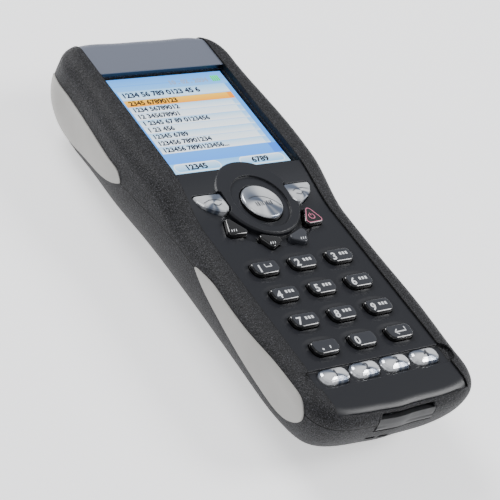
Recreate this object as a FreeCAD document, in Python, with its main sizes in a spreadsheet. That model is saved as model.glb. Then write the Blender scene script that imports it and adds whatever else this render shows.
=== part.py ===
import FreeCAD, Part
import math
import os
import Sketcher

# Portable barcode data terminal, in millimetres.
# +X is to the right across the face, +Y runs to the display end, +Z comes out of the face.
# The origin is on the flat of the back, under the middle of the body.

doc = FreeCAD.newDocument("terminal")

# Driving dimensions

SIZES = [
    ("body_length", 130.0, "over both ends"),
    ("rim_handle_top", 21.0, "textured rim over the keypad, above the back"),
    ("rim_head_top", 24.1, "textured rim beside the display"),
    ("panel_drop", 0.4, "smooth face below the rim"),
    ("panel_thick", 1.2, "face plates"),
    ("panel_half_handle", 21.1, "face plate half width at the keys"),
    ("panel_half_head", 20.3, "face plate half width at the display"),
    ("step_start", 15.9, "where the face starts to fall towards the keys"),
    ("step_end", -2.6, "where the fall ends"),
    ("parting_handle", 16.9, "joint of the two shells beside the keys"),
    ("parting_head", 14.5, "joint of the two shells beside the display"),
    ("parting_start", 24.0, "where the joint starts to rise"),
    ("parting_end", -3.0, "where the joint has risen"),
    ("edge_round", 4.6, "round of the face edge"),
    ("corner_head", 9.0, "plan corner at the display end"),
    ("corner_foot", 9.0, "plan corner at the key end"),
    ("wall", 1.8, "moulded wall"),
    ("waist_level", 16.9, "level of the full outline"),
    ("round_head", 13.0, "reach of the back's round at the display end"),
    ("round_foot", 16.5, "reach of the back's round at the key end"),
    ("display_width", 40.0, "display opening"),
    ("display_height", 37.4, "display opening"),
    ("display_low", 14.0, "lower edge of the display opening"),
    ("window_top", 22.7, "window face, sunk 1 below the face plate"),
    ("window_thick", 1.0, "clear window"),
    ("disc_radius", 11.8, "raised disc round the scan key"),
    ("disc_y", 4.4, "disc centre"),
    ("disc_top", 22.8, "disc surface at its centre"),
    ("disc_tilt", 5.0, "degrees that the disc rises to the display"),
    ("dish_radius", 8.3, "shallow dish in the disc"),
    ("scan_radius", 5.8, "scan key"),
    ("scan_y", 2.5, "scan key centre"),
    ("scan_top", 23.4, "scan key face"),
    ("key_width", 8.0, "number key"),
    ("key_depth", 4.2, "number key"),
    ("key_pitch", 12.0, "number key columns"),
    ("key_row", 8.7, "number key rows"),
    ("key_first", -15.1, "upper edge of the first row"),
    ("key_top", 21.8, "number key face"),
    ("key_gap", 0.18, "clearance round a key in its hole"),
    ("flange_low", 18.4, "underside of the key flanges"),
    ("flange_thick", 0.7, "key flanges"),
    ("flange_reach", 0.6, "key flange beyond the cap"),
    ("function_reach", 0.3, "function key flange beyond the cap"),
    ("well_gap", 0.3, "clearance round a key flange in the shell"),
    ("key_crown", 0.3, "edge of a number key"),
    ("function_crown", 0.9, "round of a function key"),
    ("scan_crown", 0.7, "round of the scan key"),
    ("soft_crown", 0.4, "edge of the chrome keys"),
    ("small_crown", 0.3, "edge of the small keys"),
    ("function_width", 8.7, "function key"),
    ("function_depth", 4.5, "function key"),
    ("function_pitch", 9.8, "function key spacing"),
    ("function_y", -51.2, "function key centre line"),
    ("function_top", 21.5, "function key crown"),
    ("small_top", 21.9, "small keys below the disc"),
    ("soft_top", 22.9, "chrome keys beside the disc"),
    ("board_low", 13.2, "underside of the main board"),
    ("board_thick", 1.2, "main board"),
    ("battery_width", 33.6, "battery pack"),
    ("battery_length", 52.0, "battery pack"),
    ("battery_thick", 7.0, "battery pack"),
    ("battery_low", 2.4, "battery pack above the back"),
    ("battery_round", 1.5, "battery pack corners"),
    ("battery_y", -24.0, "battery centre"),
    ("door_half", 16.5, "battery door half width"),
    ("door_low", -53.0, "battery door end"),
    ("door_high", 8.0, "battery door end"),
    ("door_thick", 1.7, "battery door"),
    ("slide_gap", 0.25, "clearance round the battery door"),
    ("flap_half", 9.1, "port cover half width"),
    ("flap_low", 14.9, "port cover lower edge"),
    ("flap_high", 18.5, "port cover upper edge"),
    ("flap_thick", 1.2, "port cover"),
    ("flap_pin_radius", 0.4, "port cover pin"),
    ("flap_pin_y", -64.05, "port cover pin"),
    ("flap_pin_z", 15.7, "port cover pin"),
    ("insert_thick", 1.1, "side inserts"),
    ("insert_proud", 0.25, "side inserts beyond the shells"),
    ("screw_radius", 1.1, "housing screws"),
    ("screw_seat", 5.2, "seat of the screw heads above the back"),
    ("foot_screw_seat", 8.2, "seat of the screw heads at the key end, where the back is rounded"),
    ("module_width", 39.8, "display module"),
    ("module_height", 37.0, "display module"),
    ("module_low", 18.8, "underside of the display module"),
    ("module_thick", 2.7, "display module"),
    ("frame_wall", 1.4, "frame that holds the display module"),
    ("band_half", 23.6, "cross band round the function keys"),
    ("band_depth", 5.6, "cross band round the function keys"),
    ("band_sunk", 0.5, "cross band below the face plate"),
    ("strip_end_level", 19.9, "where the face strip ends over both ends"),
    ("mat_low", 16.6, "keypad mat"),
    ("scan_window_tilt", 23.0, "degrees that the scan window leans back"),
    ("scan_window_y", 62.4, "scan window centre"),
    ("scan_window_z", 9.0, "scan window centre"),
    ("beeper_radius", 4.5, "beeper"),
    ("beeper_height", 3.0, "beeper"),
    ("beeper_x", 15.0, "beeper centre"),
    ("beeper_y", 28.0, "beeper centre"),
]

sheet = doc.addObject("Spreadsheet::Sheet", "Sizes")
for row, (alias, value, note) in enumerate(SIZES, start=1):
    sheet.set("A%d" % row, alias)
    sheet.set("B%d" % row, str(value))
    sheet.set("C%d" % row, note)
    sheet.setAlias("B%d" % row, alias)
doc.recompute()


def size(alias):
    return float(sheet.get(alias))


V = FreeCAD.Vector
BIG = 200.0
HALF = size("body_length") / 2.0

# Half width of the body along its length, from the key end to the display end
SIDE = [(-52.0, 26.7), (-38.0, 27.3), (-20.0, 27.0), (0.0, 27.0), (13.0, 27.5), (25.0, 28.1),
        (40.0, 27.4), (53.0, 26.8)]
FOOT_BOW = 0.9
CORNER_TURNS = (0.0, 45.0, 90.0)
ROUND_TURNS = (0.0, 20.0, 42.0, 62.0, 79.0, 90.0)
CAVITY_TURNS = (0.0, 35.0, 66.0, 90.0)
STEP_POINTS = 12
PIECES = []
KEYS = []
FORMS = {}


def smooth(t):
    t = min(1.0, max(0.0, t))
    return t * t * (3.0 - 2.0 * t)


def between(y, start, end, at_start, at_end):
    return at_start + (at_end - at_start) * smooth((start - y) / (start - end))


def back_reach(y):
    return between(y, 56.0, 10.0, 11.0, 16.0)


# Outline of the body at one level: the sides come in by side_in, the ends by head_in and foot_in
def outline(level, side_in, head_in, foot_in, shrink=1.0):
    head_r = size("corner_head") * shrink
    foot_r = size("corner_foot") * shrink
    foot_flat = SIDE[0][1] - side_in(SIDE[0][0]) - foot_r
    head_flat = SIDE[-1][1] - side_in(SIDE[-1][0]) - head_r
    foot_y = -HALF + foot_in
    head_y = HALF - head_in
    right = []
    right.append((foot_flat * 0.5, foot_y + FOOT_BOW * 0.25))
    for turn in CORNER_TURNS:
        a = math.radians(90.0 - turn)
        right.append((foot_flat + foot_r * math.cos(a), foot_y + FOOT_BOW + foot_r - foot_r * math.sin(a)))
    for y, w in SIDE:
        if foot_y + foot_r + 2.0 < y < head_y - head_r - 1.0:
            right.append((w - side_in(y), y))
    for turn in CORNER_TURNS:
        a = math.radians(90.0 - turn)
        right.append((head_flat + head_r * math.sin(a), head_y - head_r + head_r * math.cos(a)))
    right.append((head_flat * 0.5, head_y))
    points = [(0.0, foot_y)] + right + [(0.0, head_y)] + [(-x, y) for x, y in reversed(right)]
    curve = Part.BSplineCurve()
    curve.interpolate([V(x, y, level) for x, y in points], PeriodicFlag=True)
    return Part.Wire([curve.toShape()])


def prism(wire, height):
    return Part.Face(wire).extrude(V(0, 0, height))


# The rounded back: outlines that draw in towards the flat, skin deep under the outer face
def hull_back(skin, turns=ROUND_TURNS, ruled=False):
    top = size("waist_level")
    wires = []
    for angle in turns:
        a = math.radians(angle)
        turn = 1.0 - math.cos(a)
        level = top - (top - skin) * math.sin(a)
        sides = (lambda y, turn=turn: skin + (back_reach(y) - 0.4 * skin) * turn)
        wires.append(outline(level, sides, skin + (size("round_head") - skin) * turn,
                             skin + (size("round_foot") - skin) * turn, 1.0 - 0.3 * turn - 0.06 * skin))
    return Part.makeLoft(wires, True, ruled)


# Everything under a side-view line that steps from the head's level to the handle's
def under(head_level, handle_level, start, end):
    line = []
    for i in range(STEP_POINTS + 1):
        y = start + (end - start) * i / STEP_POINTS
        line.append(V(0, y, between(y, start, end, head_level, handle_level)))
    step = Part.BSplineCurve()
    step.interpolate(line, InitialTangent=V(0, -1, 0), FinalTangent=V(0, -1, 0))
    edges = [
        Part.makeLine(V(0, BIG, -BIG), V(0, BIG, head_level)),
        Part.makeLine(V(0, BIG, head_level), V(0, start, head_level)),
        step.toShape(),
        Part.makeLine(V(0, end, handle_level), V(0, -BIG, handle_level)),
        Part.makeLine(V(0, -BIG, handle_level), V(0, -BIG, -BIG)),
        Part.makeLine(V(0, -BIG, -BIG), V(0, BIG, -BIG)),
    ]
    face = Part.Face(Part.Wire(edges))
    face.translate(V(-BIG / 2, 0, 0))
    return face.extrude(V(BIG, 0, 0))


def under_face(drop):
    return under(size("rim_head_top") - drop, size("rim_handle_top") - drop,
                 size("step_start"), size("step_end"))


def under_parting(drop):
    return under(size("parting_head") - drop, size("parting_handle") - drop,
                 size("parting_start"), size("parting_end"))


# The upright walls above the rounded back
def standing_wall(skin):
    return prism(outline(size("waist_level"), lambda y: skin, skin, skin, 1.0 - 0.06 * skin), 12.0)


# The whole body's form, skin deep under its outer face, worked out once for each depth
def body_form(skin=0.0):
    if skin in FORMS:
        return FORMS[skin]
    waist = size("waist_level")
    upper = standing_wall(skin).common(under_face(skin))
    rim = [e for e in upper.Edges if e.BoundBox.ZMin > waist + 0.5]
    upper = upper.makeFillet(size("edge_round") - 0.6 - skin, rim)
    FORMS[skin] = upper.fuse(hull_back(skin)).removeSplitter()
    return FORMS[skin]


def block(x_half, y_low, y_high, z_low, z_high, x_mid=0.0):
    return Part.makeBox(2 * x_half, y_high - y_low, z_high - z_low, V(x_mid - x_half, y_low, z_low))


def post(x, y, radius, z_low, z_high):
    return Part.makeCylinder(radius, z_high - z_low, V(x, y, z_low))


# A piece whose form comes from the shared surfaces of the body
def formed(label, shape):
    piece = doc.addObject("Part::Feature", label)
    piece.Shape = shape
    PIECES.append(piece)
    return piece


# Outlines of the keys, as wires at level zero

def chain(points):
    edges = []
    for item in points:
        if len(item) == 2:
            edges.append(Part.LineSegment(V(*item[0]), V(*item[1])).toShape())
        else:
            edges.append(Part.Arc(V(*item[0]), V(*item[1]), V(*item[2])).toShape())
    return Part.Wire(edges)


def corner(cx, cy, radius, start):
    pts = []
    for turn in (0.0, 45.0, 90.0):
        a = math.radians(start - turn)
        pts.append((cx + radius * math.cos(a), cy + radius * math.sin(a), 0.0))
    return tuple(pts)


# Upper corners small, lower corners wide, as a shallow D lying on its back
def smile(x, y, width, depth, upper, lower):
    left, right = x - width / 2.0, x + width / 2.0
    top, low = y + depth / 2.0, y - depth / 2.0
    return chain([
        ((left + upper, top, 0), (right - upper, top, 0)),
        corner(right - upper, top - upper, upper, 90.0),
        ((right, top - upper, 0), (right, low + lower, 0)),
        corner(right - lower, low + lower, lower, 0.0),
        ((right - lower, low, 0), (left + lower, low, 0)),
        corner(left + lower, low + lower, lower, -90.0),
        ((left, low + lower, 0), (left, top - upper, 0)),
        corner(left + upper, top - upper, upper, 180.0),
    ])


def soft_outline(side):
    s = side
    return chain([
        ((10.8 * s, 7.5, 0), (18.2 * s, 7.5, 0)),
        ((18.2 * s, 7.5, 0), (18.75 * s, 7.3, 0), (18.85 * s, 6.8, 0)),
        ((18.85 * s, 6.8, 0), (16.3 * s, 3.3, 0), (12.2 * s, 1.3, 0)),
        ((12.2 * s, 1.3, 0), (10.8 * s, 1.5, 0), (10.2 * s, 2.8, 0)),
        ((10.2 * s, 2.8, 0), (10.2 * s, 6.9, 0)),
        ((10.2 * s, 6.9, 0), (10.35 * s, 7.35, 0), (10.8 * s, 7.5, 0)),
    ])


# A rounded triangle with its flat side along the disc and its point away from it
def pick_outline(angle, half_side, near, far, radius):
    a = math.radians(angle)
    out = V(math.cos(a), math.sin(a), 0)
    along = V(-math.sin(a), math.cos(a), 0)
    mid = V(0, size("disc_y"), 0)
    core = [mid + out * (near + radius) + along * (half_side - radius),
            mid + out * (near + radius) - along * (half_side - radius),
            mid + out * (far - radius)]
    core.append(core[0])
    return Part.makePolygon(core).makeOffset2D(radius)


# A plain rectangle round an outline, grow beyond it
def frame_round(wire, grow):
    b = wire.BoundBox
    corners = [V(b.XMin - grow, b.YMin - grow, 0), V(b.XMax + grow, b.YMin - grow, 0),
               V(b.XMax + grow, b.YMax + grow, 0), V(b.XMin - grow, b.YMax + grow, 0)]
    return Part.makePolygon(corners + [corners[0]])


def circle_outline(x, y, radius):
    return Part.Wire([Part.makeCircle(radius, V(x, y, 0))])


def raised(wire, grow, low, high):
    if grow:
        wire = wire.makeOffset2D(grow)
    solid = prism(wire, high - low)
    solid.translate(V(0, 0, low))
    return solid


def origin_plane(body, role):
    for feature in body.Origin.OriginFeatures:
        if feature.Role == role:
            return feature
    raise ValueError(role)


def wire_sketch(body, name, wire, level):
    sketch = body.newObject("Sketcher::SketchObject", name)
    sketch.AttachmentSupport = [(origin_plane(body, "XY_Plane"), "")]
    sketch.MapMode = "FlatFace"
    sketch.setExpression(".AttachmentOffset.Base.z", level)
    for edge in wire.Edges:
        if isinstance(edge.Curve, Part.Circle) and edge.isClosed():
            sketch.addGeometry(Part.Circle(edge.Curve.Center, V(0, 0, 1), edge.Curve.Radius))
        else:
            sketch.addGeometry(edge.Curve.trim(edge.FirstParameter, edge.LastParameter))
    return sketch


# A key: a flange that the face plate holds down, and a cap that stands through its hole
def key(label, wire, flange_wire, mid, top, crown, edge_kind="Chamfer", edge_size="Size"):
    body = doc.addObject("PartDesign::Body", label)
    flange = body.newObject("PartDesign::Pad", label + "_flange")
    flange.Profile = wire_sketch(body, label + "_flange_outline", flange_wire, "Sizes.flange_low")
    flange.setExpression("Length", "Sizes.flange_thick")
    doc.recompute()
    cap = body.newObject("PartDesign::Pad", label + "_cap")
    cap.Profile = wire_sketch(body, label + "_cap_outline", wire, "Sizes.flange_low")
    cap.setExpression("Length", "Sizes.%s - Sizes.flange_low" % top)
    doc.recompute()
    faces = cap.Shape.Faces
    upper = max(range(len(faces)), key=lambda i: faces[i].CenterOfMass.z)
    edge = body.newObject("PartDesign::" + edge_kind, label + "_edge")
    edge.Base = (cap, ["Face%d" % (upper + 1)])
    edge.setExpression(edge_size, "Sizes." + crown)
    body.Tip = edge
    PIECES.append(body)
    KEYS.append((wire, flange_wire, mid))


def profile_along_y(points, y_low, y_high):
    corners = [V(x, y_low, z) for x, z in points]
    corners.append(corners[0])
    return Part.Face(Part.makePolygon(corners)).extrude(V(0, y_high - y_low, 0))


def profile_along_x(wire, x_low, x_high):
    shape = Part.Face(wire).extrude(V(x_high - x_low, 0, 0))
    shape.translate(V(x_low, 0, 0))
    return shape


def plan_prism(points, z_low, z_high):
    corners = [V(x, y, z_low) for x, y in points]
    corners.append(corners[0])
    return Part.Face(Part.makePolygon(corners)).extrude(V(0, 0, z_high - z_low))


def slot(x_half, y_half, y_mid, z_low, z_high):
    run = x_half - y_half
    middle = block(run, y_mid - y_half, y_mid + y_half, z_low, z_high)
    ends = [post(side * run, y_mid, y_half, z_low, z_high) for side in (-1, 1)]
    return middle.multiFuse(ends).removeSplitter()


# A dimensioned rectangle about the sketch's own origin, moved to its place by its attachment
def rectangle(body, name, width, depth, mid_y, level):
    sketch = body.newObject("Sketcher::SketchObject", name)
    sketch.AttachmentSupport = [(origin_plane(body, "XY_Plane"), "")]
    sketch.MapMode = "FlatFace"
    sketch.setExpression(".AttachmentOffset.Base.y", mid_y)
    sketch.setExpression(".AttachmentOffset.Base.z", level)
    rough = [V(-1, -1, 0), V(1, -1, 0), V(1, 1, 0), V(-1, 1, 0)]
    for i in range(4):
        sketch.addGeometry(Part.LineSegment(rough[i], rough[(i + 1) % 4]))
    for i in range(4):
        sketch.addConstraint(Sketcher.Constraint("Coincident", i, 2, (i + 1) % 4, 1))
    for i in (0, 2):
        sketch.addConstraint(Sketcher.Constraint("Horizontal", i))
    for i in (1, 3):
        sketch.addConstraint(Sketcher.Constraint("Vertical", i))
    sketch.addConstraint(Sketcher.Constraint("Symmetric", 0, 1, 2, 1, -1, 1))
    wide = sketch.addConstraint(Sketcher.Constraint("DistanceX", 0, 1, 0, 2, 2.0))
    deep = sketch.addConstraint(Sketcher.Constraint("DistanceY", 1, 1, 1, 2, 2.0))
    sketch.setExpression("Constraints[%d]" % wide, width)
    sketch.setExpression("Constraints[%d]" % deep, depth)
    return sketch


# A block padded up from its sketch; its standing edges are rounded when round_radius is given
def slab(label, width, depth, mid_y, level, thick, round_radius=None):
    body = doc.addObject("PartDesign::Body", label)
    pad = body.newObject("PartDesign::Pad", label + "_pad")
    pad.Profile = rectangle(body, label + "_outline", width, depth, mid_y, level)
    pad.setExpression("Length", thick)
    doc.recompute()
    if round_radius:
        upright = ["Edge%d" % (i + 1) for i, e in enumerate(pad.Shape.Edges)
                   if e.BoundBox.ZLength > 0.9 * pad.Shape.BoundBox.ZLength]
        edge = body.newObject("PartDesign::Fillet", label + "_corners")
        edge.Base = (pad, upright)
        edge.setExpression("Radius", round_radius)
        body.Tip = edge
    PIECES.append(body)
    return body


# Forms shared by the shells and what is set into them

WALL = size("wall")
FACE_SINK = size("panel_drop") + size("panel_thick")
OUTER = body_form()
CAVITY = standing_wall(WALL).common(under_face(FACE_SINK + WALL))
CAVITY = CAVITY.fuse(hull_back(WALL, CAVITY_TURNS, True))
BELOW_PARTING = under_parting(0.0)


# Keys: number keys in four rows of three, then four round ends in a row, then the cluster round the disc

def keypad():
    for row in range(4):
        for column in range(3):
            mid = (size("key_pitch") * (column - 1),
                   size("key_first") - size("key_row") * row - size("key_depth") / 2.0)
            wire = smile(mid[0], mid[1], size("key_width"), size("key_depth"), 1.1, 1.9)
            key("number_key_%d" % (3 * row + column + 1), wire, frame_round(wire, size("flange_reach")),
                mid, "key_top", "key_crown")


def function_keys():
    for column in range(4):
        mid = (size("function_pitch") * (column - 1.5), size("function_y"))
        wire = smile(mid[0], mid[1], size("function_width"), size("function_depth"), 1.9, 2.1)
        key("function_key_%d" % (column + 1), wire, frame_round(wire, size("function_reach")), mid,
            "function_top", "function_crown")


def cluster_keys():
    scan = (0.0, size("scan_y"))
    reach = size("flange_reach")
    key("scan_key", circle_outline(scan[0], scan[1], size("scan_radius")),
        circle_outline(scan[0], scan[1], size("scan_radius") + reach), scan, "scan_top", "scan_crown")
    for name, side in (("left", -1), ("right", 1)):
        wire = soft_outline(side)
        key("soft_key_" + name, wire, wire.makeOffset2D(reach), (13.2 * side, 4.9), "soft_top",
            "soft_crown", "Fillet", "Radius")
    for name, angle, near, far, half_side in (("menu", 213.0, 12.9, 18.0, 3.2),
                                              ("clear", 251.0, 12.7, 16.7, 3.1),
                                              ("enter", 289.0, 12.7, 16.7, 3.1),
                                              ("power", 327.0, 12.9, 18.0, 3.2)):
        out = (near + far) / 2.0 - 0.6
        mid = (out * math.cos(math.radians(angle)), size("disc_y") + out * math.sin(math.radians(angle)))
        wire = pick_outline(angle, half_side, near, far, 1.0)
        key(name + "_key", wire, wire.makeOffset2D(reach), mid, "small_top", "small_crown")


keypad()
function_keys()
cluster_keys()

KEY_HOLES = [raised(wire, size("key_gap"), size("flange_low") - 1.0, 30.0) for wire, flange, mid in KEYS]
FLANGE_WELLS = []
for wire, flange, mid in KEYS:
    square = all(isinstance(e.Curve, Part.Line) for e in flange.Edges)
    well = frame_round(flange, size("well_gap")) if square else flange.makeOffset2D(size("well_gap"))
    FLANGE_WELLS.append(raised(well, 0.0, 10.0, size("rim_head_top") - FACE_SINK))


# Face plates and the raised disc

def strip(grow):
    low = size("panel_half_handle") + grow
    high = size("panel_half_head") + grow
    end = HALF + 5.0
    plan = plan_prism([(-low, -end), (low, -end), (low, size("step_end")), (high, size("step_start")),
                       (high, end), (-high, end), (-high, size("step_start")), (-low, size("step_end"))],
                      18.0, 30.0)
    ends = [block(BIG, -end, 3.0 - HALF, 0.0, size("strip_end_level")),
            block(BIG, HALF - 3.0, end, 0.0, size("strip_end_level"))]
    return plan.cut(ends)


def above_disc(drop):
    cutter = block(30.0, -30.0, 30.0, 0.0, 30.0)
    cutter.rotate(V(0, 0, 0), V(1, 0, 0), size("disc_tilt"))
    cutter.translate(V(0, size("disc_y"), size("disc_top") - drop))
    return cutter


def cross_band():
    return slot(size("band_half"), size("band_depth") / 2.0, size("function_y") - 0.3,
                size("rim_handle_top") - size("panel_drop") - size("band_sunk"), 30.0)


def crescent():
    reach = 40.0
    ring = post(0, size("disc_y"), size("disc_radius") + 3.6, 15.0, 30.0)
    ring = ring.cut(post(0, size("disc_y"), size("disc_radius"), 15.0, 30.0))
    fan = [(0.0, size("disc_y"))]
    for angle in (203.0, 235.0, 270.0, 305.0, 337.0):
        a = math.radians(angle)
        fan.append((reach * math.cos(a), size("disc_y") + reach * math.sin(a)))
    return ring.common(plan_prism(fan, 15.0, 30.0)).cut(under_face(size("panel_drop") + 0.4))


def face_plates():
    plates = strip(0.0).common(body_form(size("panel_drop"))).cut(body_form(FACE_SINK))
    display_high = size("display_low") + size("display_height")
    lower = plates.common(block(BIG, -BIG, size("display_low"), -BIG, BIG))
    upper = plates.common(block(BIG, display_high, BIG, -BIG, BIG))
    disc = post(0, size("disc_y"), size("disc_radius"), 15.0, 30.0).cut(above_disc(0.0))
    rim = [e for e in disc.Edges if e.BoundBox.ZMin > size("disc_top") - 3.0]
    disc = disc.makeChamfer(0.4, rim).cut(under_face(FACE_SINK))
    over_display = block(BIG, size("display_low"), BIG, -BIG, size("window_top") + 0.05)
    disc = disc.cut(over_display)
    dish = post(0, size("scan_y") + 0.5, size("dish_radius"), 15.0, 30.0).common(above_disc(0.5))
    lower = lower.cut(crescent()).fuse(disc).cut(dish).cut(cross_band()).cut(KEY_HOLES)
    formed("face_panel", lower.removeSplitter())
    formed("brow_panel", upper)


# Display: window, gasket, module and its ribbon to the board

def display():
    mid = "Sizes.display_low + Sizes.display_height / 2"
    slab("display_window", "Sizes.display_width + 0.2", "Sizes.display_height - 0.1", mid,
         "Sizes.window_top - Sizes.window_thick", "Sizes.window_thick")
    slab("display_module", "Sizes.module_width", "Sizes.module_height", mid,
         "Sizes.module_low", "Sizes.module_thick")
    middle = size("display_low") + size("display_height") / 2.0
    half_wide = size("module_width") / 2.0
    half_high = size("module_height") / 2.0
    board_top = size("board_low") + size("board_thick")
    module_top = size("module_low") + size("module_thick")

    def ring(edge, z_low, z_high):
        outer = block(half_wide, middle - half_high, middle + half_high, z_low, z_high)
        return outer.cut(block(half_wide - edge, middle - half_high + edge,
                               middle + half_high - edge, z_low, z_high))

    formed("display_gasket", ring(0.6, module_top, size("window_top") - size("window_thick")))
    ledge = block(6.0, middle + half_high - 2.0, middle + half_high + 1.0, board_top, 17.0)
    formed("display_frame", ring(size("frame_wall"), board_top, size("module_low")).cut(ledge))
    low = board_top
    high = size("module_low") + 0.6
    near = middle + half_high
    far = near + 1.3
    path = [(near, high), (far, high), (far, low), (far + 0.3, low), (far + 0.3, high + 0.3),
            (near, high + 0.3), (near, high)]
    formed("display_ribbon", profile_along_x(Part.makePolygon([V(0, y, z) for y, z in path]), -7.0, 7.0))


# The window lies in the strip's recess, and the module comes up through the shell under it
def lcd_opening():
    return block(size("display_width") / 2.0 + 0.1, size("display_low") - 0.05,
                 size("display_low") + size("display_height") + 0.05, 12.0, 30.0)


# Shells

# Housing screws: place, and the seat of the head above the back
SEAT = size("screw_seat")
FOOT_SEAT = size("foot_screw_seat")
SCREWS = [(16.5, 55.2, SEAT), (-16.5, 55.2, SEAT), (19.5, 11.7, SEAT), (-19.5, 11.7, SEAT),
          (13.5, -57.6, FOOT_SEAT), (-13.5, -57.6, FOOT_SEAT)]


# A seal inside the walls, over the joint of the shells
def housing_seal():
    band = under_parting(-0.5).cut(under_parting(0.5))
    inner_upper = standing_wall(2.0).fuse(hull_back(2.0, CAVITY_TURNS, True))
    inner_lower = standing_wall(2.8).fuse(hull_back(2.8, CAVITY_TURNS, True))
    at_connector = block(size("flap_half") + 0.25, -BIG, -61.0, 12.0, 20.0)
    formed("housing_seal", band.common(inner_upper).cut(inner_lower).cut(at_connector))


# A leaf seen from the side, through points given as along the body and height
def leaf(points):
    curve = Part.BSplineCurve()
    curve.interpolate([V(0, y, z) for y, z in points], PeriodicFlag=True)
    return Part.Wire([curve.toShape()])


UPPER_LEAF = [(22.4, 14.2), (24.5, 12.4), (28.0, 10.4), (37.0, 7.7), (47.0, 5.5), (54.0, 5.3),
              (60.0, 7.6), (63.0, 11.4), (62.2, 15.2), (58.0, 16.6), (48.0, 16.7), (36.0, 16.7),
              (27.0, 16.6), (23.4, 15.9)]
LOWER_LEAF = [(-10.1, 17.0), (-12.5, 15.9), (-22.0, 13.5), (-33.0, 11.6), (-44.0, 9.6), (-51.0, 9.7),
              (-55.4, 12.2), (-57.4, 15.4), (-56.0, 18.2), (-51.0, 19.2), (-42.0, 19.2), (-31.0, 18.6),
              (-20.0, 18.5), (-12.0, 17.8)]


def side_inserts():
    inner = body_form(size("insert_thick") - size("insert_proud"))
    pockets = []
    for where, points in (("upper", UPPER_LEAF), ("lower", LOWER_LEAF)):
        tool = profile_along_x(leaf(points), 14.0, 40.0)
        right = tool.common(body_form(-size("insert_proud"))).cut(inner)
        left = right.mirror(V(0, 0, 0), V(1, 0, 0))
        for name, insert in (("left", left), ("right", right)):
            formed("side_insert_%s_%s" % (where, name), insert)
            pockets.append(insert)
    return pockets


def foot_opening():
    half = size("flap_half") + 0.25
    return block(half, -HALF - 5.0, -62.4, size("flap_low") - 0.4, size("flap_high") + 0.2)


def screw_bosses(radius, z_low, z_high):
    return [post(x, y, radius, z_low, z_high) for x, y, seat in SCREWS]


# Profile of the battery door across the body; the channel it slides in is a little larger
def door_profile(grow):
    half = size("door_half") + grow
    thick = size("door_thick") + grow
    return [(-half, -5.0), (half, -5.0), (half, thick + 0.6), (half - 4.5, thick),
            (4.5 - half, thick), (-half, thick + 0.6)]


def battery_door():
    door = OUTER.common(profile_along_y(door_profile(0.0), size("door_low"), size("door_high")))
    for i in range(5):
        y = size("door_low") + 5.0 + 2.2 * i
        groove = Part.makeCylinder(0.9, 18.0, V(-9.0, y, -0.45), V(1, 0, 0))
        door = door.cut(groove)
    formed("battery_door", door)


def battery_bay(grow, z_low, z_high):
    half = size("battery_width") / 2.0 + grow
    low = size("battery_y") - size("battery_length") / 2.0 - grow
    high = size("battery_y") + size("battery_length") / 2.0 + grow
    return block(half, low, high, z_low, z_high)


def tilted(shape):
    shape.rotate(V(0, 0, 0), V(1, 0, 0), -size("scan_window_tilt"))
    shape.translate(V(0, size("scan_window_y"), size("scan_window_z")))
    return shape


def front_housing(pockets):
    ceiling_low = size("board_low") + size("board_thick")
    shell = OUTER.cut(BELOW_PARTING).cut(CAVITY)
    bosses = [CAVITY.common(b) for b in screw_bosses(2.2, ceiling_low, 22.0)]
    shell = shell.multiFuse(bosses).cut(FLANGE_WELLS + [lcd_opening()])
    recess = strip(0.0).cut(body_form(FACE_SINK))
    shell = shell.cut(recess)
    cuts = [cross_band(), foot_opening(), finger_notch()]
    cuts += screw_bosses(size("screw_radius"), 10.0, 18.0)
    shell = shell.cut(cuts)
    for pocket in pockets:
        shell = shell.cut(pocket)
    formed("front_housing", shell.removeSplitter())


def finger_notch():
    notch = slot(size("flap_half") - 0.4, 0.6, 0.0, 0.0, 10.0)
    notch.rotate(V(0, 0, 0), V(1, 0, 0), 90)
    notch.translate(V(0, -63.2, size("flap_high") + 0.6))
    return notch


def rear_housing(pockets):
    shell = OUTER.common(BELOW_PARTING).cut(CAVITY)
    bosses = [OUTER.common(b) for b in screw_bosses(2.9, 1.0, size("board_low"))]
    frame = block(13.4, -2.2, 0.6, -5.6, 5.6)
    frame = OUTER.common(BELOW_PARTING.common(tilted(frame)))
    bay_top = size("battery_low") + size("battery_thick") + 0.3
    bay = OUTER.common(battery_bay(1.3, 1.0, bay_top + 1.0))
    shell = shell.multiFuse(bosses + [frame, bay])
    channel = profile_along_y(door_profile(size("slide_gap")), -HALF - 5.0,
                              size("door_high") + size("slide_gap"))
    bay_hole = battery_bay(0.2, -5.0, bay_top)
    window_cut = tilted(block(12.1, -0.7, 8.0, -4.3, 4.3))
    light_cut = tilted(block(10.4, -8.0, 8.0, -3.2, 3.2))
    contact_cut = block(5.2, 0.0, 6.0, 4.0, 8.0)
    lanyard = [block(1.5, -HALF - 5.0, -59.0, 10.7, 11.8, x) for x in (-7.8, -3.8)]
    pin_hole = Part.makeCylinder(size("flap_pin_radius"), 2 * size("flap_half") + 3.0,
                                 V(-size("flap_half") - 1.5, size("flap_pin_y"), size("flap_pin_z")),
                                 V(1, 0, 0))
    cuts = [channel, bay_hole, window_cut, light_cut, contact_cut, foot_opening(), pin_hole]
    cuts += lanyard
    cuts += [post(x, y, 2.1, -5.0, seat) for x, y, seat in SCREWS]
    cuts += screw_bosses(size("screw_radius"), 0.0, 16.0)
    shell = shell.cut(cuts)
    for pocket in pockets:
        shell = shell.cut(pocket)
    formed("rear_housing", shell)


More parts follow.
